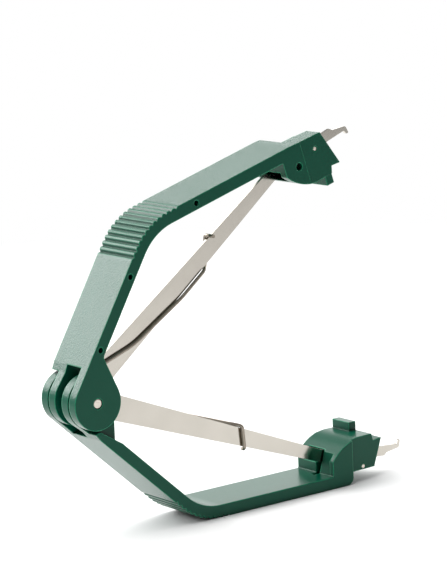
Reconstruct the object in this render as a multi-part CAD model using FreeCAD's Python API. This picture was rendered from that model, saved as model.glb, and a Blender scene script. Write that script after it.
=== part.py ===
import FreeCAD, Part
import os
from math import acos, atan2, cos, hypot, radians, sin, tan

# Chip puller for square chips in sockets, sizes in millimetres and degrees.
# Two moulded arms hinge on one steel pin and open by themselves. A flat steel blade
# turns on the same pin inside each arm, runs out through the foot of the arm and ends
# in a fine inward hook. The feet press on the socket while the hooks lift the chip.
# The tool stands on the flat outer face of its lower forearm, with +X towards the hooks.

# Moulded arm
arm_width = 16.0
shank_thick = 3.3           # bar between knuckle and elbow
forearm_thick = 3.5         # bar between elbow and foot
shank_length = 49.0         # knuckle tangent point to the outer corner of the elbow
forearm_length = 47.4       # outer corner of the elbow to the face of the foot
elbow_bend = 42.7
elbow_inner_radius = 16.0
elbow_outer_radius = 19.0
splay_half = 8.3            # each forearm leans out this much from the middle line

# Knuckle
lug_radius = 7.3
lug_width = 2.9
lug_side_gap = 0.6
lug_lean = 8.0              # how far the inner side of the outermost lug leans from upright
inner_lug_lean = 1.0        # and of the other lug
root_far = 7.1              # sunk root of the inner lug, from the outer tangent point
root_near = 4.9
root_depth = 0.35
lug_corner_radius = 1.5
turning_clearance = 0.6     # round the neighbour's lug
pocket_side_z = 12.3        # the pocket for that lug runs out to the inner side down to here
slot_depth = 2.8            # extra depth of the slot between the two lugs of one arm

# Grip ribs over the elbow
rib_count = 11
rib_pitch = 1.75
rib_depth = 0.55
rib_crest = 0.6             # flat on top of each rib

# Foot and nose
foot_length = 7.3           # full width part, up to the ridge
nose_length = 8.2           # ridge to the end of the crown
foot_height = 9.7           # crown above the forearm's inner face
crown_rise = 5.4            # of the curve from the foot's face to the crown
crown_slope = 53.6          # where the curve leaves the face
beak_reach = 3.8
beak_drop = 1.75
notch_drop = 2.1
nose_taper = 3.5
nose_inset = 0.8            # side of the shallow half, set back at the ridge
nose_rim = 0.15             # the same on the other side
nose_rise = 0.6             # the outer face of the nose lifts by this much
nose_rake = 0.3             # the end face leans back this much at its outer end
step_rise = 3.4             # half of the nose is shallower by this much
step_radius = 2.4
step_side = 1.7             # where the shallow half ends, from the middle of the arm
pad_length = 7.4
pad_thick = 2.5
pad_height = 2.6

# Blind holes left by the mould's pins, along one side of each arm
mould_hole_radius = 0.8
mould_hole_depth = 2.0
foot_hole_radius = 1.1
shank_holes = [13.0, 34.0]  # from the pin, along the shank
forearm_hole = 16.6         # from the elbow, along the forearm
foot_hole = [4.9, 3.1]      # from the foot's face, above the forearm's inner face

# Steel blades
blade_thick = 0.9
blade_eye_radius = 3.75
blade_sill = 2.2            # outer edge above the forearm's inner face, at the bend
blade_bend_reach = 3.5      # bend inside the foot, from the foot's face
blade_height = 3.6          # at the bend
exit_height = 3.0           # at the shoulder
exit_drop = 1.6             # the outer edge runs down by this much to the shoulder
shoulder_reach = 21.0       # bend to the shoulder
finger_reach = 5.2          # shoulder to the hook
finger_root = 2.1
finger_tip = 1.1
hook_rise = 1.3
hook_thick = 1.0
shoulder_slope = 0.9
blade_side_clearance = 0.3
blade_top_gap = 0.7         # above the blade's inner edge, where the slit leaves the nose

# Window in the foot that the blade runs through
window_near = 1.0           # from the blade's middle plane to the nearer side wall
window_far = 6.4
window_depth = 9.5
window_sill = 3.1           # above the forearm's inner face
window_top = 6.6
cheek_near = 5.4            # leaning cheek beside the slit, from the blade's plane
cheek_lean = 2.0
cheek_top = 7.1             # above the forearm's inner face
slit_reach = 2.0            # the slit starts this far ahead of the foot
slit_depth = 0.8

# Hinge pin, guide pins and their bores
hinge_pin_radius = 1.35
hinge_pin_recess = 0.2
hinge_running_gap = 0.08
guide_pin_radius = 0.7
guide_pin_reach = 12.0      # from the foot's face
guide_pin_gap = 0.12        # under the blade's outer edge
guide_pin_recess = 0.1
pin_edge_round = 0.2

# Hairpin spring of round wire
wire_radius = 0.5
bow_radius = 5.3
leg_bend_reach = 38.0
leg_bend_radius = 30.0
wrap_reach = 53.4
wrap_rise = 1.25            # leg above the blade's inner edge at the wrap
wrap_lean = 0.7             # the wrap leans towards the hooks
wrap_radius = 0.8
wrap_gap = 0.1
blade_gap = 0.05            # between a blade and the wire's plane

half = arm_width / 2
shank = radians(elbow_bend)
splay = radians(splay_half)
outer_tangent = (-lug_radius * sin(shank), -lug_radius * cos(shank))
elbow = (outer_tangent[0] + shank_length * cos(shank), outer_tangent[1] - shank_length * sin(shank))
floor_z = elbow[1]
inner_z = floor_z + forearm_thick
foot_x = elbow[0] + forearm_length
ridge_x = foot_x + foot_length
nose_x = ridge_x + nose_length
crown_z = inner_z + foot_height
inner_lug = (-half + lug_width + lug_side_gap, -half + 2 * lug_width + lug_side_gap)
outer_lug = (half - lug_width, half)
blade_y = -(wire_radius + blade_gap + blade_thick / 2)
bend = (foot_x + blade_bend_reach, inner_z + blade_sill)
shoulder = (bend[0] + shoulder_reach, bend[1] - exit_drop)
guide_x = foot_x + guide_pin_reach
guide_z = (bend[1] - exit_drop * (guide_x - bend[0]) / shoulder_reach) - guide_pin_gap - guide_pin_radius
rest_x = (elbow[0] + elbow_outer_radius * tan(shank / 2) + foot_x) / 2


def outline(corners):
    """Closed face in the arm's plane. Each corner is x, z and its rounding radius."""
    spots = [FreeCAD.Vector(x, 0, z) for x, z, _ in corners]
    edges, starts, ends, arcs = [], [], [], []
    for k, (x, z, radius) in enumerate(corners):
        spot = spots[k]
        back = (spots[k - 1] - spot).normalize()
        ahead = (spots[(k + 1) % len(spots)] - spot).normalize()
        if radius == 0:
            starts.append(spot)
            ends.append(spot)
            arcs.append(None)
            continue
        angle = back.getAngle(ahead)
        cut = radius / tan(angle / 2)
        middle = (back + ahead).normalize()
        top = spot + middle * (radius / sin(angle / 2) - radius)
        starts.append(spot + back * cut)
        ends.append(spot + ahead * cut)
        arcs.append(top)
    for k in range(len(spots)):
        if arcs[k] is not None:
            edges.append(Part.Arc(starts[k], arcs[k], ends[k]).toShape())
        after = starts[(k + 1) % len(spots)]
        if (after - ends[k]).Length > 1e-6:
            edges.append(Part.LineSegment(ends[k], after).toShape())
    return Part.Face(Part.Wire(edges))


def slab(corners, near, far):
    """Prism of an outline between two depths across the arm."""
    face = outline(corners)
    face.translate(FreeCAD.Vector(0, near, 0))
    return face.extrude(FreeCAD.Vector(0, far - near, 0))


def rod(radius, x, z, near, far):
    """Cylinder along the pin's direction."""
    return Part.makeCylinder(radius, far - near, FreeCAD.Vector(x, near, z), FreeCAD.Vector(0, 1, 0))


def tangent_from(point, radius, side):
    """Where a line from a point touches a circle round the pin; side is +1 or -1."""
    angle = atan2(point[1], point[0]) + side * acos(radius / hypot(*point))
    return (radius * cos(angle), radius * sin(angle))


def shank_inner_meets_lug(lean):
    """Where the leaning side of a lug leaves its disc, and where it meets the shank's inner face."""
    touch = (lug_radius * cos(lean), -lug_radius * sin(lean))
    offset = lug_radius - shank_thick
    start = (-offset * sin(shank), -offset * cos(shank))
    gap = (touch[0] - start[0], touch[1] - start[1])
    down = (-sin(lean), -cos(lean))
    along = (cos(shank), -sin(shank))
    travel = (gap[0] * along[1] - gap[1] * along[0]) / (down[1] * along[0] - down[0] * along[1])
    return touch, (touch[0] + travel * down[0], touch[1] + travel * down[1])


def shank_spot(travel, depth):
    """Point at a distance along the shank from its outer tangent point, and below its outer face."""
    return (outer_tangent[0] + travel * cos(shank) + depth * sin(shank),
            outer_tangent[1] - travel * sin(shank) + depth * cos(shank))


def arm_side(inner):
    """Side view of the arm's half with the inner or the outermost lug, from the pin to the nose."""
    touch, corner = shank_inner_meets_lug(radians(inner_lug_lean if inner else lug_lean))
    root = shank_spot(root_near, root_depth)
    outer_start = [(*outer_tangent, 0)]
    if inner:
        outer_start = [(*tangent_from(root, lug_radius, -1), 0), (*root, 0.4), (*shank_spot(root_far, 0), 0)]
    slope = radians(crown_slope)
    crown_run = crown_rise / sin(slope)
    crown_radius = crown_run / tan(slope / 2)
    inner_elbow_x = elbow[0] + (shank_thick - forearm_thick * cos(shank)) / sin(shank)
    nose_end_x = nose_x - nose_rake
    return outer_start + [
        (*elbow, elbow_outer_radius),
        (foot_x + foot_length / 2, floor_z, 0),
        (nose_end_x, floor_z + nose_rise, 0.3),
        (nose_x + beak_reach, crown_z - beak_drop, 0.15),
        (nose_x + 0.6, crown_z - notch_drop, 0.15),
        (nose_x, crown_z, 0.3),
        (foot_x + crown_run * cos(slope), crown_z, 0.9999 * crown_radius),
        (foot_x, crown_z - crown_rise, 0),
        (foot_x, inner_z, 0.4),
        (inner_elbow_x, inner_z, elbow_inner_radius),
        (*corner, lug_corner_radius),
        (*touch, 0),
        (0, 0, 0),
    ]


def elbow_station(travel):
    """Point and outward direction on the elbow's outer face, travel measured from its middle."""
    half_turn = elbow_outer_radius * shank / 2
    middle = radians(-90) - shank / 2
    reach = elbow_outer_radius / cos(shank / 2)
    centre = (elbow[0] - reach * cos(middle), elbow[1] - reach * sin(middle))
    on_arc = max(-half_turn, min(half_turn, travel))
    angle = middle + on_arc / elbow_outer_radius
    out = (cos(angle), sin(angle))
    extra = travel - on_arc
    spot = (centre[0] + elbow_outer_radius * out[0] - extra * out[1],
            centre[1] + elbow_outer_radius * out[1] + extra * out[0])
    return spot, out


def rib_grooves():
    """V grooves across the elbow that leave the grip ribs standing between them."""
    grooves = []
    mouth = (rib_pitch - rib_crest) / 2
    for k in range(rib_count + 1):
        travel = (k - rib_count / 2) * rib_pitch
        spot, out = elbow_station(travel)
        along = (-out[1], out[0])
        proud = 0.3
        spread = mouth * (1 + proud / rib_depth)
        corners = [
            (spot[0] - out[0] * rib_depth, spot[1] - out[1] * rib_depth, 0),
            (spot[0] + out[0] * proud + along[0] * spread, spot[1] + out[1] * proud + along[1] * spread, 0),
            (spot[0] + out[0] * proud - along[0] * spread, spot[1] + out[1] * proud - along[1] * spread, 0),
        ]
        grooves.append(slab(corners, -half - 1, half + 1))
    return grooves


def nose_side_cuts():
    """Both sides of the nose are set back at the ridge and close in a little towards its end."""
    length = nose_length + beak_reach + 2
    lost = length * tan(radians(nose_taper))
    cuts = []
    for side, inset in ((-1, nose_inset), (1, nose_rim)):
        edge = side * (half - inset)
        spots = [(ridge_x, edge), (ridge_x + length, edge - side * lost),
                 (ridge_x + length, edge + 2 * side), (ridge_x, edge + 2 * side)]
        loop = [FreeCAD.Vector(x, y, floor_z - 1) for x, y in spots]
        face = Part.Face(Part.makePolygon(loop + [loop[0]]))
        cuts.append(face.extrude(FreeCAD.Vector(0, 0, crown_z - floor_z + pad_height + 2)))
    return cuts


def nose_step_cut():
    """Clears the outer side of one half of the nose, with the foot's rounded corner before it."""
    far_x = nose_x + beak_reach + 2
    level = floor_z + step_rise
    corners = [
        (ridge_x, level, 0),
        (ridge_x, floor_z, min(step_radius, 0.95 * step_rise)),
        (foot_x, floor_z, 0),
        (foot_x, floor_z - 2, 0),
        (far_x, floor_z - 2, 0),
        (far_x, level, 0),
    ]
    return slab(corners, -half - 1, step_side)


def blade_passage():
    """Window behind the foot's face, and the narrow slit that runs out through the nose."""
    top = inner_z + window_top
    end_x = nose_x + beak_reach + 1
    end_top = shoulder[1] + exit_height + blade_top_gap
    side = blade_thick / 2 + blade_side_clearance
    window = Part.makeBox(window_depth + 1, window_near + window_far, top - inner_z - window_sill,
                          FreeCAD.Vector(foot_x - 1, blade_y - window_near, inner_z + window_sill))
    slit = slab([(foot_x - 1, inner_z, 0), (foot_x - 1, top, 0), (bend[0], top, 0),
                 (end_x, end_top, 0), (end_x, inner_z, 0)], blade_y - side, blade_y + side)
    groove = slab([(foot_x - slit_reach, inner_z + 1, 0), (foot_x - slit_reach, inner_z - slit_depth, 0.4),
                   (foot_x + 1, inner_z - slit_depth, 0), (foot_x + 1, inner_z + 1, 0)],
                  blade_y - side, blade_y + side)
    cheek = slab([(foot_x, inner_z, 0), (foot_x + cheek_lean, inner_z + cheek_top, 0),
                  (foot_x - 1, inner_z + cheek_top, 0), (foot_x - 1, inner_z, 0)],
                 blade_y - cheek_near, blade_y)
    return [window, slit, groove, cheek]


def lug_pocket():
    """Room for the other arm's outermost lug, open to the outer face and to the inner side."""
    radius = lug_radius + turning_clearance
    depth = lug_radius - (radius ** 2 - root_near ** 2) ** 0.5
    round_part = rod(radius, 0, 0, -half - 1, inner_lug[0])
    outer_part = slab([(*shank_spot(-2, -1), 0), (*shank_spot(root_near, -1), 0),
                       (*shank_spot(root_near, depth), 0), (*shank_spot(-2, depth), 0)],
                      -half - 1, inner_lug[0])
    inner_part = slab([(0, 0, 0), (0.5, -radius, 0), (lug_radius + 0.3, -pocket_side_z, 0),
                       (lug_radius + 5, -pocket_side_z, 0), (lug_radius + 5, 0, 0)],
                      -half - 1, inner_lug[0])
    return [round_part, outer_part, inner_part]


def side_holes():
    """Blind holes in the side of the arm that carries its outermost lug."""
    middle = lug_radius - shank_thick / 2
    deep = half - mould_hole_depth
    holes = []
    for travel in shank_holes:
        x = -middle * sin(shank) + travel * cos(shank)
        z = -middle * cos(shank) - travel * sin(shank)
        holes.append(rod(mould_hole_radius, x, z, deep, half + 1))
    holes.append(rod(mould_hole_radius, elbow[0] + forearm_hole, floor_z + forearm_thick / 2, deep, half + 1))
    holes.append(rod(foot_hole_radius, foot_x + foot_hole[0], inner_z + foot_hole[1], deep, half + 1))
    return holes


def arm(pin_bore):
    """One moulded arm, in the lower position, with its bore for the hinge pin."""
    body = slab(arm_side(True), -half, inner_lug[1])
    body = body.fuse([slab(arm_side(False), inner_lug[1], half), rod(lug_radius, 0, 0, -half, half)])
    pad = Part.makeBox(pad_thick, pad_length, pad_height + 1,
                       FreeCAD.Vector(nose_x - pad_thick - 0.2, 0, crown_z - 1))
    body = body.fuse(pad)
    recess = lug_pocket()
    slot = rod(lug_radius + slot_depth, 0, 0, inner_lug[1], outer_lug[0])
    bore = rod(pin_bore, 0, 0, -half - 1, half + 1)
    guide = rod(guide_pin_radius, guide_x, guide_z, -half - 1, half + 1)
    cuts = recess + [slot, bore, guide, nose_step_cut()]
    body = body.cut(cuts + rib_grooves() + nose_side_cuts() + blade_passage() + side_holes())
    return body.removeSplitter()


def blade():
    """Flat stamped blade: eye on the pin, taper, bend in the foot, shoulder and hook."""
    outer_touch = tangent_from(bend, blade_eye_radius, -1)
    inner_bend = (bend[0], bend[1] + blade_height)
    inner_touch = tangent_from(inner_bend, blade_eye_radius, 1)
    root_top = (shoulder[0] - 0.6, shoulder[1] + exit_height)
    hook_x = shoulder[0] + finger_reach
    hook_outer = shoulder[1] + exit_height - 0.4 - finger_tip
    step_x = shoulder[0] + shoulder_slope
    step_z = shoulder[1] + exit_height - 0.1 - finger_root
    corners = [
        (*outer_touch, 0),
        (*bend, 12.0),
        (*shoulder, 0.25),
        (step_x, step_z, 0.3),
        (hook_x + hook_thick / 2, hook_outer, 0.9),
        (hook_x + hook_thick, hook_outer + finger_tip + hook_rise, 0.35),
        (hook_x, hook_outer + finger_tip + hook_rise - 0.2, 0.25),
        (hook_x - 0.4, hook_outer + finger_tip, 0.5),
        (*root_top, 3.0),
        (*inner_bend, 12.0),
        (*inner_touch, 0),
        (0, 0, 0),
    ]
    near = blade_y - blade_thick / 2
    flat = slab(corners, near, near + blade_thick)
    eye = rod(blade_eye_radius, 0, 0, near, near + blade_thick)
    hole = rod(hinge_pin_radius + hinge_running_gap, 0, 0, near - 1, near + blade_thick + 1)
    return flat.fuse(eye).cut(hole).removeSplitter()


def pin(radius, x, z, near, far):
    """Plain steel pin with broken edges, between two depths across the arm."""
    body = rod(radius, x, z, near, far)
    rims = [edge for edge in body.Edges if min(abs(edge.CenterOfMass.y - end) for end in (near, far)) < 1e-6]
    return body.makeChamfer(pin_edge_round, rims)


def turned_over(shape):
    """Half a turn about the tool's middle line, which makes the upper parts from the lower ones."""
    copy = shape.copy()
    copy.rotate(FreeCAD.Vector(0, 0, 0), FreeCAD.Vector(cos(splay), 0, sin(splay)), 180)
    return copy


def edge_height(reach, inner):
    """Height of the blade's inner or outer edge at a distance from the pin."""
    goal = (bend[0], bend[1] + blade_height) if inner else bend
    touch = tangent_from(goal, blade_eye_radius, 1 if inner else -1)
    slope = (goal[1] - touch[1]) / (goal[0] - touch[0])
    return touch[1] + slope * (reach - touch[0])


def bent_run(spots, radii):
    """Edges through spots in space, with a tangent arc at each inner spot."""
    edges = []
    last = spots[0]
    for k in range(1, len(spots) - 1):
        back = (spots[k - 1] - spots[k]).normalize()
        ahead = (spots[k + 1] - spots[k]).normalize()
        angle = back.getAngle(ahead)
        cut = radii[k - 1] / tan(angle / 2)
        middle = (back + ahead).normalize()
        top = spots[k] + middle * (radii[k - 1] / sin(angle / 2) - radii[k - 1])
        start, end = spots[k] + back * cut, spots[k] + ahead * cut
        edges += [Part.LineSegment(last, start).toShape(), Part.Arc(start, top, end).toShape()]
        last = end
    edges.append(Part.LineSegment(last, spots[-1]).toShape())
    return edges


def hairpin_spring():
    """Bow round the back of the pin, two legs, and an end wrapped round each blade."""
    knee = (leg_bend_reach, edge_height(leg_bend_reach, True) - wire_radius)
    touch = tangent_from(knee, bow_radius, -1)
    side = blade_y - blade_thick / 2 - wrap_gap - wire_radius
    top = edge_height(wrap_reach, True) + wrap_rise
    low = edge_height(wrap_reach + wrap_lean, False) - wrap_gap - 1.1 * wire_radius
    spots = [
        FreeCAD.Vector(wrap_reach + wrap_lean, wire_radius, low),
        FreeCAD.Vector(wrap_reach + wrap_lean, side, low),
        FreeCAD.Vector(wrap_reach, side, top),
        FreeCAD.Vector(wrap_reach, 0, top),
        FreeCAD.Vector(knee[0], 0, knee[1]),
        FreeCAD.Vector(touch[0], 0, touch[1]),
    ]
    leg = bent_run(spots, [wrap_radius, wrap_radius, wrap_radius, leg_bend_radius])
    lower = Part.Wire(leg)
    upper = turned_over(lower)
    back = FreeCAD.Vector(-bow_radius * cos(splay), 0, -bow_radius * sin(splay))
    lower_touch = spots[-1]
    upper_touch = turned_over(Part.Vertex(lower_touch)).Point
    bow = Part.Arc(lower_touch, back, upper_touch).toShape()
    path = Part.Wire(leg + [bow] + list(reversed(upper.OrderedEdges)))
    ring = Part.Circle(spots[0], FreeCAD.Vector(0, 1, 0), wire_radius).toShape()
    return path.makePipeShell([Part.Wire(ring)], True, False)


def build():
    reach = half - hinge_pin_recess
    guide_reach = half - (guide_x - ridge_x) * tan(radians(nose_taper)) - guide_pin_recess
    guide_ends = (nose_inset - guide_reach, guide_reach - nose_rim)
    lower_blade = blade()
    guide_pin = pin(guide_pin_radius, guide_x, guide_z, *guide_ends)
    pieces = {
        "lower_arm": arm(hinge_pin_radius),
        "upper_arm": turned_over(arm(hinge_pin_radius + hinge_running_gap)),
        "lower_blade": lower_blade,
        "upper_blade": turned_over(lower_blade),
        "hinge_pin": pin(hinge_pin_radius, 0, 0, -reach, reach),
        "lower_guide_pin": guide_pin,
        "upper_guide_pin": turned_over(guide_pin),
        "hairpin_spring": hairpin_spring(),
    }
    os.makedirs("parts", exist_ok=True)
    for name, shape in pieces.items():
        shape.translate(FreeCAD.Vector(-rest_x, 0, -floor_z))
        box = shape.BoundBox
        print(name, shape.isValid(), len(shape.Solids), round(shape.Volume, 2),
              [round(v, 2) for v in (box.XMin, box.XMax, box.YMin, box.YMax, box.ZMin, box.ZMax)])
        shape.exportStep("parts/" + name + ".step")
    print("pin at", round(-rest_x, 3), round(-floor_z, 3))


build()
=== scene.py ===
import math

import bpy
import numpy as np
from mathutils import Matrix, Vector


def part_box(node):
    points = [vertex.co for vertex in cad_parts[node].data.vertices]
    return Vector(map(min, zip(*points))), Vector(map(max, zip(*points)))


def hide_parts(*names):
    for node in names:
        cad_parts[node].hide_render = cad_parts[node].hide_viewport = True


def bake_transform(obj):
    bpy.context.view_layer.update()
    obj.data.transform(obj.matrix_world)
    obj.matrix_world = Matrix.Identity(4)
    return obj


# A chip puller, open and standing on its lower forearm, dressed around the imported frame.
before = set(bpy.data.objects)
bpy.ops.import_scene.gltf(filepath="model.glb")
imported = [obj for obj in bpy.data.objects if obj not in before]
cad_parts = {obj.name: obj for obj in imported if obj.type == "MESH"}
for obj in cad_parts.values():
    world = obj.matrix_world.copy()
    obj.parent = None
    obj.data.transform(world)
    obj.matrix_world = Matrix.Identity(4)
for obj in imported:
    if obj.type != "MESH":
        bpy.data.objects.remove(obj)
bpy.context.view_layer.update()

# Moulded arms. Two bent arms from one mould, in glass-filled nylon coloured dark green. The lugs
# of the lower arm grip the hinge pin and those of the upper arm turn on it. The outer faces have
# a spark-eroded grain as far as the ribs of each elbow, and the other faces are smooth.
edge_round = 0.00045                      # m, the rounding of a moulded edge
hollow_width = 0.0015                     # m, walls nearer than this shade each other
hinge_level = 38.6                        # mm over the table
lower_elbow_points = (-0.364, 0.0, -0.931)
lower_elbow_reach = 8.58                  # mm that way from the origin to the crests of the ribs
upper_elbow_points = (-0.615, 0.0, 0.788)
upper_elbow_reach = 89.58
ribs_start = 2.8                          # mm under the crests, where the grain fades out
ribs_fully = 2.4
grain_per_mm = 1.9                        # real grain is about 0.1 mm, drawn coarser to show
grain_depth = 0.00022                     # m, deeper than real for the same reason
drift_per_mm = 0.06                       # slow drift of the colour along an arm
smears_per_mm = 1.5                       # small changes of gloss where fingers go
smooth_rough, grained_rough = 0.29, 0.38
smeared_by = 0.012                        # more or less rough
ribs_coat, grain_coat = 0.3, 0.6          # the grained faces have both
coat_rough = 0.38
nylon_ior = 1.53
mirror_level = 0.17                       # low, because the photographed sides mirror little


def linear(hex_colour):
    """Linear colour of an sRGB hex code: each channel is raised along the sRGB curve."""
    values = [int(hex_colour[k:k + 2], 16) / 255 for k in (1, 3, 5)]
    curve = [v / 12.92 if v <= 0.04045 else ((v + 0.055) / 1.055) ** 2.4 for v in values]
    return (*curve, 1.0)


deep_green = linear("#004835")
fresh_green = linear("#024f3b")
# Painted highlight: the lighter green laid on every edge.
painted_edge_highlight = linear("#2fa67a")
# Painted shade: the near black green laid into the hollows.
painted_hollow_shade = linear("#00281e")


def fill(tree, node, **sockets):
    """Sets or links a node's sockets: i and a number is an index, and _ stands for a space."""
    for name, value in sockets.items():
        key = int(name[1:]) if name[0] == "i" and name[1:].isdigit() else name.replace("_", " ")
        if isinstance(value, bpy.types.NodeSocket):
            tree.links.new(value, node.inputs[key])
        else:
            node.inputs[key].default_value = value


def add(tree, kind, settings=None, **sockets):
    """Adds one node with its settings, and fills its sockets from values or other sockets."""
    node = tree.nodes.new(kind)
    for name, value in (settings or {}).items():
        setattr(node, name, value)
    fill(tree, node, **sockets)
    return node


def surface(name):
    """Empty material: its nodes, its Principled shader, and object coordinates in millimetres."""
    material = bpy.data.materials.new(name)
    material.use_nodes = True
    tree = material.node_tree
    shader = tree.nodes["Principled BSDF"]
    place = add(tree, "ShaderNodeTexCoord")
    scaled = add(tree, "ShaderNodeVectorMath", {"operation": "SCALE"},
                 Vector=place.outputs["Object"], Scale=1000.0)
    return material, tree, shader, scaled.outputs["Vector"]


def dress(node, material):
    """Gives a CAD node its material in every slot."""
    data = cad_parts[node].data
    if not data.materials:
        data.materials.append(material)
    for k in range(len(data.materials)):
        data.materials[k] = material


# Glass-filled nylon as it leaves the mould. To the eye the grained outer faces are a pale, finely
# speckled green grey where the light comes down on them and the smooth sides are deep green. Each
# edge gets a thin painted highlight, and the hollows between ribs and lugs get painted shade,
# nearly black.
plastic, tree, shader, mm = surface("green_plastic")
drift = add(tree, "ShaderNodeTexNoise", Vector=mm, Scale=drift_per_mm, Detail=3.0, Roughness=0.5)
body = add(tree, "ShaderNodeMix", {"data_type": "RGBA"}, Factor=drift.outputs["Fac"],
           i6=deep_green, i7=fresh_green)

# An edge is where the rounded normal turns away from the face's own. A lighter green is painted
# there as a highlight.
rounded = add(tree, "ShaderNodeBevel", {"samples": 6}, Radius=edge_round)
facing = add(tree, "ShaderNodeNewGeometry")
agree = add(tree, "ShaderNodeVectorMath", {"operation": "DOT_PRODUCT"},
            i0=rounded.outputs["Normal"], i1=facing.outputs["Normal"])
edge = add(tree, "ShaderNodeMapRange", Value=agree.outputs["Value"], From_Min=1.0, From_Max=0.8,
           To_Min=0.0, To_Max=0.9)
colour = add(tree, "ShaderNodeMix", {"data_type": "RGBA"}, Factor=edge.outputs["Result"],
             i6=body.outputs[2], i7=painted_edge_highlight)
# Painted shade: where walls stand close together, the colour darkens towards a near black green.
open_air = add(tree, "ShaderNodeAmbientOcclusion", {"samples": 8}, Distance=hollow_width)
unshaded_share = add(tree, "ShaderNodeMapRange", Value=open_air.outputs["AO"], From_Min=0.45, From_Max=0.95)
shaded = add(tree, "ShaderNodeMix", {"data_type": "RGBA"}, Factor=unshaded_share.outputs["Result"],
             i6=painted_hollow_shade, i7=colour.outputs[2])

# Outer faces run across the width and look away from the level of the hinge.
direction = add(tree, "ShaderNodeTexCoord")
facing_way = add(tree, "ShaderNodeSeparateXYZ", Vector=direction.outputs["Normal"])
sideways = add(tree, "ShaderNodeMath", {"operation": "ABSOLUTE"}, i0=facing_way.outputs["Y"])
across_width = add(tree, "ShaderNodeMapRange", Value=sideways.outputs["Value"],
                   From_Min=0.3, From_Max=0.7, To_Min=1.0, To_Max=0.0)
spot = add(tree, "ShaderNodeSeparateXYZ", Vector=mm)
from_hinge = add(tree, "ShaderNodeMath", {"operation": "SUBTRACT"},
                 i0=spot.outputs["Z"], i1=hinge_level)
outward = add(tree, "ShaderNodeMath", {"operation": "MULTIPLY"},
              i0=from_hinge.outputs["Value"], i1=facing_way.outputs["Z"])
outside = add(tree, "ShaderNodeMapRange", Value=outward.outputs["Value"],
              From_Min=0.0, From_Max=3.0)
outer = add(tree, "ShaderNodeMath", {"operation": "MULTIPLY"},
            i0=across_width.outputs["Result"], i1=outside.outputs["Result"])

# The ribs lie close under the outermost plane of either elbow, and have no grain.
lower_way = add(tree, "ShaderNodeVectorMath", {"operation": "DOT_PRODUCT"},
                i0=mm, i1=lower_elbow_points)
lower_height = add(tree, "ShaderNodeMath", {"operation": "SUBTRACT"},
                   i0=lower_way.outputs["Value"], i1=lower_elbow_reach)
upper_way = add(tree, "ShaderNodeVectorMath", {"operation": "DOT_PRODUCT"},
                i0=mm, i1=upper_elbow_points)
upper_height = add(tree, "ShaderNodeMath", {"operation": "SUBTRACT"},
                   i0=upper_way.outputs["Value"], i1=upper_elbow_reach)
elbow_height = add(tree, "ShaderNodeMath", {"operation": "MAXIMUM"},
                   i0=lower_height.outputs["Value"], i1=upper_height.outputs["Value"])
off_ribs = add(tree, "ShaderNodeMapRange", Value=elbow_height.outputs["Value"],
               From_Min=-ribs_start, From_Max=-ribs_fully, To_Min=1.0, To_Max=0.0)
grained = add(tree, "ShaderNodeMath", {"operation": "MULTIPLY"},
              i0=outer.outputs["Value"], i1=off_ribs.outputs["Result"])
pits = add(tree, "ShaderNodeTexNoise", Vector=mm, Scale=grain_per_mm, Detail=4.0, Roughness=0.65)
height = add(tree, "ShaderNodeMath", {"operation": "MULTIPLY"},
             i0=pits.outputs["Fac"], i1=grained.outputs["Value"])
grain = add(tree, "ShaderNodeBump", Strength=0.8, Distance=grain_depth,
            Height=height.outputs["Value"], Normal=rounded.outputs["Normal"])

# The grain is rougher than the smooth faces, and both vary a little where hands have smeared them.
smears = add(tree, "ShaderNodeTexNoise", Vector=mm, Scale=smears_per_mm, Detail=3.0)
smeared = add(tree, "ShaderNodeMapRange", Value=smears.outputs["Fac"], From_Min=0.3, From_Max=0.7,
              To_Min=-smeared_by, To_Max=smeared_by)
moulded = add(tree, "ShaderNodeMapRange", Value=grained.outputs["Value"],
              From_Min=0.0, From_Max=1.0, To_Min=smooth_rough, To_Max=grained_rough)
rough = add(tree, "ShaderNodeMath", {"operation": "ADD"},
            i0=smeared.outputs["Result"], i1=moulded.outputs["Result"])

# Fingers polish the outer faces, most where they are grained and not at all in the hollows. A
# coat stands for the polish.
ribs_polish = add(tree, "ShaderNodeMath", {"operation": "MULTIPLY"},
                  i0=outer.outputs["Value"], i1=ribs_coat)
faces_polish = add(tree, "ShaderNodeMath", {"operation": "MULTIPLY_ADD"},
                   i0=grained.outputs["Value"], i1=grain_coat,
                   i2=ribs_polish.outputs["Value"])
polish = add(tree, "ShaderNodeMath", {"operation": "MULTIPLY"},
             i0=faces_polish.outputs["Value"], i1=unshaded_share.outputs["Result"])
fill(tree, shader, Base_Color=shaded.outputs[2], Roughness=rough.outputs["Value"],
     Normal=grain.outputs["Normal"], Coat_Weight=polish.outputs["Value"],
     Coat_Normal=grain.outputs["Normal"], Coat_Roughness=coat_rough,
     Specular_IOR_Level=mirror_level, IOR=nylon_ior)
for name in ("lower_arm", "upper_arm"):
    dress(name, plastic)

# Blades. Two alike, stamped from strip of hardened stainless steel and tumbled, each with an eye
# on the hinge pin and a hook at its tip. Each runs through the foot of its arm, held by the foot
# and the guide pin.
steel_dark = linear("#b6b1a8")
steel_light = linear("#c6c1b8")
stamped_edge = 0.00012                    # m, left rounded by the tumbling
roll_depth = 0.00003                      # m
lines_per_mm = 2.0
lines_stretch = (0.04, 1.0, 3.0)          # so a line is about 12 mm long and 0.17 mm wide
clouds_per_mm = 0.12
strip_rough = (0.12, 0.18)
slopes = {"lower_blade": 21.0, "upper_blade": -37.6}    # degrees, falling towards the hook

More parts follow.
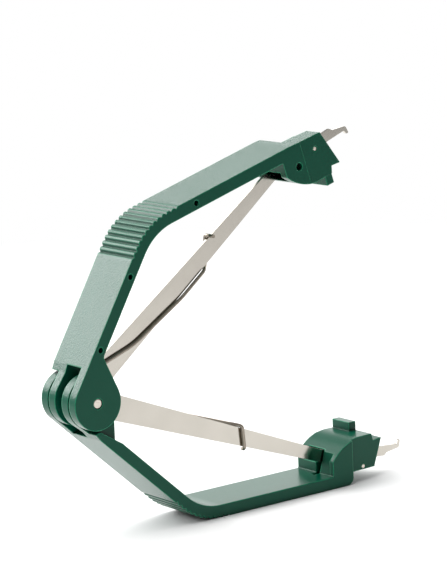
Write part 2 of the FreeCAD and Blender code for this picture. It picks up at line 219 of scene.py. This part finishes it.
# Stainless strip. To the eye a soft warm satin, with faint lines left lengthwise by the rolls,
# drawn a few times coarser than real so that they show, and slow clouds of tone.
for name, slope in slopes.items():
    steel, tree, shader, mm = surface("steel_" + name)
    along = add(tree, "ShaderNodeVectorRotate", {"rotation_type": "Y_AXIS"},
                Vector=mm, Angle=math.radians(-slope))
    stretched = add(tree, "ShaderNodeVectorMath", {"operation": "MULTIPLY"},
                    i0=along.outputs["Vector"], i1=lines_stretch)
    lines = add(tree, "ShaderNodeTexNoise", Vector=stretched.outputs["Vector"],
                Scale=lines_per_mm, Detail=5.0, Roughness=0.6)
    clouds = add(tree, "ShaderNodeTexNoise", Vector=mm, Scale=clouds_per_mm, Detail=3.0)
    tone = add(tree, "ShaderNodeMix", {"data_type": "RGBA"}, Factor=clouds.outputs["Fac"],
               i6=steel_dark, i7=steel_light)
    satin = add(tree, "ShaderNodeMapRange", Value=lines.outputs["Fac"],
                From_Min=0.3, From_Max=0.7, To_Min=strip_rough[0], To_Max=strip_rough[1])
    tumbled = add(tree, "ShaderNodeBevel", {"samples": 4}, Radius=stamped_edge)
    rolled = add(tree, "ShaderNodeBump", Strength=0.1, Distance=roll_depth,
                 Height=lines.outputs["Fac"], Normal=tumbled.outputs["Normal"])
    fill(tree, shader, Base_Color=tone.outputs[2], Roughness=satin.outputs["Result"],
         Normal=rolled.outputs["Normal"], Metallic=1.0)
    dress(name, steel)

# Pins. One thick hinge pin and two thin guide pins, cut from ground steel rod and faced. The
# hinge pin is pressed into the lower arm's lugs, and each guide pin across the nose of its arm.
pin_steel = linear("#d9d2c6")
pin_rough = 0.33
pin_edge = 0.0001                         # m
rings_per_mm = 2.5                        # cutter marks are finer, drawn coarser to show
rings_depth = 0.00003                     # m

# Ground steel. To the eye a bright pale spot at the end of each bore, with fine turning rings
# round its centre.
for name in ("hinge_pin", "lower_guide_pin", "upper_guide_pin"):
    low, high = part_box(name)
    centre = [(low[k] + high[k]) / 2 * 1000 for k in range(3)]
    ground, tree, shader, mm = surface("steel_" + name)
    from_centre = add(tree, "ShaderNodeVectorMath", {"operation": "SUBTRACT"}, i0=mm, i1=centre)
    flat = add(tree, "ShaderNodeVectorMath", {"operation": "MULTIPLY"},
               i0=from_centre.outputs["Vector"], i1=(1.0, 0.0, 1.0))
    rings = add(tree, "ShaderNodeTexWave",
                {"wave_type": "RINGS", "rings_direction": "SPHERICAL"},
                Vector=flat.outputs["Vector"], Scale=rings_per_mm, Distortion=0.6, Detail=2.0)
    faced = add(tree, "ShaderNodeBevel", {"samples": 4}, Radius=pin_edge)
    turned = add(tree, "ShaderNodeBump", Strength=0.2, Distance=rings_depth,
                 Height=rings.outputs["Fac"], Normal=faced.outputs["Normal"])
    fill(tree, shader, Base_Color=pin_steel, Normal=turned.outputs["Normal"],
         Metallic=1.0, Roughness=pin_rough)
    dress(name, ground)

# Hairpin spring. One length of hard drawn steel wire, bent round the back of the hinge pin. Each
# leg runs out between the blades, turns over its blade's inner edge, crosses the blade's face and
# is tucked under the outer edge. The real bow bends as the arms close; here the wire is built open
# only.
wire_radius = 0.0005                      # m
bow_radius = 0.0053                       # m
hinge = Vector((-0.058474, 0.0, 0.038595))
splay = math.radians(8.3)                 # the line midway between the blades rises by this
lower_route = np.array((                  # mm from the hinge, from the wire's end to the bow
    (51.9, -0.9, -22.93), (51.9, -2.05, -22.93), (51.4, -2.05, -16.2), (48.9, 0.0, -15.4),
    (36.0, 0.0, -10.95), (22.5, 0.0, -6.6), (-0.304, 0.0, -5.291))) / 1000
upper_route = np.array((                  # the same, turned over about the middle line
    (53.8, 1.9, -23.6), (53.8, -2.05, -23.6), (51.2, -2.05, -16.2), (48.8, 0.0, -15.25),
    (39.5, 0.0, -11.55), (21.0, 0.0, -6.45), (-0.304, 0.0, -5.291))) / 1000
bend_radii = (0.0008, 0.001, 0.003, 0.030, 0.025)       # m, one for each bend of a leg
bend_step = 0.0004                        # m between the points of a bend
fewest_steps = 8                          # in a tight bend
bow_steps = 40
wire_sides = 20


def unit(vectors):
    """Vectors divided by their lengths."""
    return vectors / np.linalg.norm(vectors, axis=-1, keepdims=True)


def bent_leg(corners, radii):
    """Wire's middle line through its corners. It leaves the straight run at a distance of
    radius / tan(half the angle) from each inner corner and follows the arc
    centre + cos(t) start + sin(t) axis x start, for t from 0 to pi less the angle."""
    parts = [corners[:1]]
    for before, corner, after, radius in zip(corners, corners[1:], corners[2:], radii):
        back = unit(before - corner)
        ahead = unit(after - corner)
        angle = math.acos(back @ ahead)
        centre = corner + unit(back + ahead) * radius / math.sin(angle / 2)
        start = corner + back * radius / math.tan(angle / 2) - centre
        axis = unit(np.cross(-back, ahead))
        steps = max(fewest_steps, int(radius * (math.pi - angle) / bend_step))
        t = np.linspace(0.0, math.pi - angle, steps + 1)[:, None]
        parts.append(centre + np.cos(t) * start + np.sin(t) * np.cross(axis, start))
    return np.concatenate([*parts, corners[-1:]])


def wire_skin(line, radius, sides):
    """Rings round a line: point + radius (cos(t) side + sin(t) along x side). Each point's side
    is the last one's with its part along the wire taken off, so the rings don't twist."""
    along = unit(np.gradient(line, axis=0))
    aslant = (0.3, 0.5, 0.8)              # any way that isn't the wire's own
    side = [np.cross(along[0], aslant)]
    for way in along:
        side.append(unit(side[-1] - way * side[-1].dot(way)))
    side = np.array(side[1:])[:, None]
    other = np.cross(along[:, None], side)
    t = np.linspace(0, 2 * np.pi, sides, endpoint=False)[None, :, None]
    return line[:, None] + radius * (np.cos(t) * side + np.sin(t) * other)


# Half a turn about the middle line lays the upper leg along the upper blade.
middle_line = np.array((math.cos(splay), 0.0, math.sin(splay)))
lower_leg = bent_leg(lower_route, bend_radii)
upper_leg = bent_leg(upper_route, bend_radii)
upper_leg = 2 * (upper_leg @ middle_line)[:, None] * middle_line - upper_leg
first, last = (math.atan2(leg[-1, 2], leg[-1, 0]) for leg in (lower_leg, upper_leg))
swept = (first - last + 2 * math.pi) % (2 * math.pi)
turn = first - swept * np.arange(1, bow_steps) / bow_steps
bow = bow_radius * np.stack((np.cos(turn), 0 * turn, np.sin(turn)), axis=1)
line = np.concatenate((lower_leg, bow, upper_leg[::-1])) + np.array(hinge)

# Four-sided faces between the rings, and a fan of triangles on each cut end.
skin = wire_skin(line, wire_radius, wire_sides)
points = np.concatenate((skin.reshape(-1, 3), line[:1], line[-1:]))
here = np.arange(len(line) * wire_sides).reshape(len(line), wire_sides)
beside = np.roll(here, -1, axis=1)
walls = np.stack((here[:-1], beside[:-1], beside[1:], here[1:]), axis=-1).reshape(-1, 4)
start_tip, end_tip = np.full((2, wire_sides), [[len(points) - 2], [len(points) - 1]])
start_fan = np.stack((start_tip, beside[0], here[0]), axis=1)
end_fan = np.stack((end_tip, here[-1], beside[-1]), axis=1)
faces = [*walls.tolist(), *start_fan.tolist(), *end_fan.tolist()]
mesh = bpy.data.meshes.new("spring_wire")
mesh.from_pydata(points.tolist(), [], faces)
mesh.polygons.foreach_set("use_smooth", np.arange(len(faces)) < len(walls))
mesh.update()
spring = bpy.data.objects.new("spring_wire", mesh)
bpy.context.collection.objects.link(spring)

# Hard drawn wire. To the eye a darker, browner grey than the blades, with patches of the film
# that drawing and heat leave on it.
wire_dark = linear("#7f776c")
wire_light = linear("#a69d91")
film_per_mm = 1.5
wire_rough = (0.26, 0.40)
wire, tree, shader, mm = surface("spring_wire")
film = add(tree, "ShaderNodeTexNoise", Vector=mm, Scale=film_per_mm, Detail=4.0)
tone = add(tree, "ShaderNodeMix", {"data_type": "RGBA"}, Factor=film.outputs["Fac"],
           i6=wire_dark, i7=wire_light)
drawn = add(tree, "ShaderNodeMapRange", Value=film.outputs["Fac"],
            From_Min=0.3, From_Max=0.7, To_Min=wire_rough[0], To_Max=wire_rough[1])
fill(tree, shader, Base_Color=tone.outputs[2], Roughness=drawn.outputs["Result"], Metallic=1.0)
mesh.materials.append(wire)
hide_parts("hairpin_spring")
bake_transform(spring)

# Table top. A sheet of white card that the tool stands on. It takes the tool's shadow, and short
# of its edges it turns to the pure white of the background, so no edge of it shows.
floor_height = -0.00005                   # m, just under the forearm, so that the two don't flicker
card_white = linear("#f3f3f3")
pure_white = linear("#ffffff")
card_rough = 0.9
card_mirror_level = 0.1
shadow_end = 220.0                        # mm from the origin, where the card starts to whiten
white_from = 480.0                        # mm
corners = [(-0.9, -0.6, 0.0), (0.9, -0.6, 0.0), (0.9, 0.9, 0.0), (-0.9, 0.9, 0.0)]
floor_mesh = bpy.data.meshes.new("floor")
floor_mesh.from_pydata(corners, [], [(0, 1, 2, 3)])
floor = bpy.data.objects.new("floor", floor_mesh)
floor.location.z = floor_height
bpy.context.collection.objects.link(floor)

# Matt card. To the eye plain white without gloss. Only the camera and mirrored or see-through
# rays meet the whitening, so the steel shows it, and it adds no light to the scene.
card, tree, shader, mm = surface("paper")
fill(tree, shader, Base_Color=card_white, Roughness=card_rough,
     Specular_IOR_Level=card_mirror_level)
away = add(tree, "ShaderNodeVectorMath", {"operation": "LENGTH"}, Vector=mm)
fade = add(tree, "ShaderNodeMapRange", Value=away.outputs["Value"],
           From_Min=shadow_end, From_Max=white_from)
rays = add(tree, "ShaderNodeLightPath")
direct = add(tree, "ShaderNodeMath", {"operation": "MAXIMUM"},
             i0=rays.outputs["Is Camera Ray"], i1=rays.outputs["Is Glossy Ray"])
seen = add(tree, "ShaderNodeMath", {"operation": "MAXIMUM"},
           i0=direct.outputs["Value"], i1=rays.outputs["Is Transmission Ray"])
whiten = add(tree, "ShaderNodeMath", {"operation": "MULTIPLY"},
             i0=fade.outputs["Result"], i1=seen.outputs["Value"])
glow = add(tree, "ShaderNodeEmission", Color=pure_white, Strength=1.0)
both = add(tree, "ShaderNodeMixShader", Fac=whiten.outputs["Value"],
           i1=shader.outputs["BSDF"], i2=glow.outputs["Emission"])
fill(tree, tree.nodes["Material Output"], Surface=both.outputs["Shader"])
floor_mesh.materials.append(card)

# Lights. Four soft panels: a wide one behind the tool, a small one behind it on the left, one
# behind it on the right and a large one overhead. They shine from behind and from above, so the
# outer faces of the arms are pale and the near sides stay dark.
panels = (                                # name, place, aim, size in m, watts
    ("back_panel", (0.4, 1.2, 0.34), (0.0, 0.0, 0.04), (2.2, 0.6), 7.5),
    ("key_light", (-0.52, 0.87, 0.48), (0.0, 0.0, 0.06), (0.5, 0.45), 6.2),
    ("right_panel", (1.0, 0.3, 0.45), (0.0, 0.0, 0.04), (0.9, 0.6), 6.0),
    ("top_panel", (-0.45, 0.45, 1.2), (-0.1, 0.1, 0.0), (2.2, 1.8), 36.0))
for name, place, aim, size, watts in panels:
    data = bpy.data.lights.new(name, "AREA")
    data.shape = "RECTANGLE"
    data.size, data.size_y = size
    data.energy = watts
    lamp = bpy.data.objects.new(name, data)
    lamp.location = place
    lamp.rotation_euler = (Vector(aim) - Vector(place)).to_track_quat("-Z", "Y").to_euler()
    bpy.context.collection.objects.link(lamp)

# Surroundings. A dim grey room lights the tool, and the camera sees white behind it. Mirrored
# rays meet the grey a quarter of the way to that white, so that the plastic and the wire keep
# their contrast.
room_grey = linear("#7c7c7c")
mirrored_share = 0.25
world = bpy.data.worlds.new("studio")
bpy.context.scene.world = world
world.use_nodes = True
tree = world.node_tree
rays = add(tree, "ShaderNodeLightPath")
mirrored = add(tree, "ShaderNodeMath", {"operation": "MULTIPLY"},
               i0=rays.outputs["Is Glossy Ray"], i1=mirrored_share)
direct = add(tree, "ShaderNodeMath", {"operation": "MAXIMUM"},
             i0=rays.outputs["Is Camera Ray"], i1=mirrored.outputs["Value"])
seen = add(tree, "ShaderNodeMath", {"operation": "MAXIMUM"},
           i0=direct.outputs["Value"], i1=rays.outputs["Is Transmission Ray"])
room = add(tree, "ShaderNodeMix", {"data_type": "RGBA"}, Factor=seen.outputs["Value"],
           i6=room_grey, i7=pure_white)
fill(tree, tree.nodes["Background"], Color=room.outputs[2], Strength=1.0)

# Camera. A long lens at the photograph's place, 36.6 degrees round from the front, 10.3 degrees
# up and rolled by 2.7, set so that the near end of the hinge pin falls where the photograph has it.
picture_width, picture_height = 447, 567               # pixels
pin_at = (98.17, 404.06)                               # pixels from the picture's top left corner
focal = 2597.74                                        # pixels
sensor = 36                                            # mm along the picture's longer side
distance = 0.68275                                     # m to the pin, square to the picture
half_width = 0.008                                     # m, from the pin's middle to its near end
round_by, up_by, roll = (math.radians(v) for v in (36.64, 10.29, -2.72))
toward = Vector((-math.sin(round_by) * math.cos(up_by), -math.cos(round_by) * math.cos(up_by),
                 math.sin(up_by)))
level = Vector((math.cos(round_by), -math.sin(round_by), 0))
upright = level.cross(-toward).normalized()
right = math.cos(roll) * level + math.sin(roll) * upright
above = -math.sin(roll) * level + math.cos(roll) * upright
rightward = (pin_at[0] - picture_width / 2) / focal
upward = (picture_height / 2 - pin_at[1]) / focal
near_pin = hinge - Vector((0, half_width, 0))
place = near_pin + distance * (toward - rightward * right - upward * above)
camera_data = bpy.data.cameras.new("camera")
camera_data.lens = focal / picture_height * sensor
camera_data.clip_end = 20
camera = bpy.data.objects.new("camera", camera_data)
turned = Matrix((right, above, toward)).transposed().to_4x4()
camera.matrix_world = Matrix.Translation(place) @ turned
bpy.context.collection.objects.link(camera)
bpy.context.scene.camera = camera
bpy.context.scene.view_settings.view_transform = "Standard"
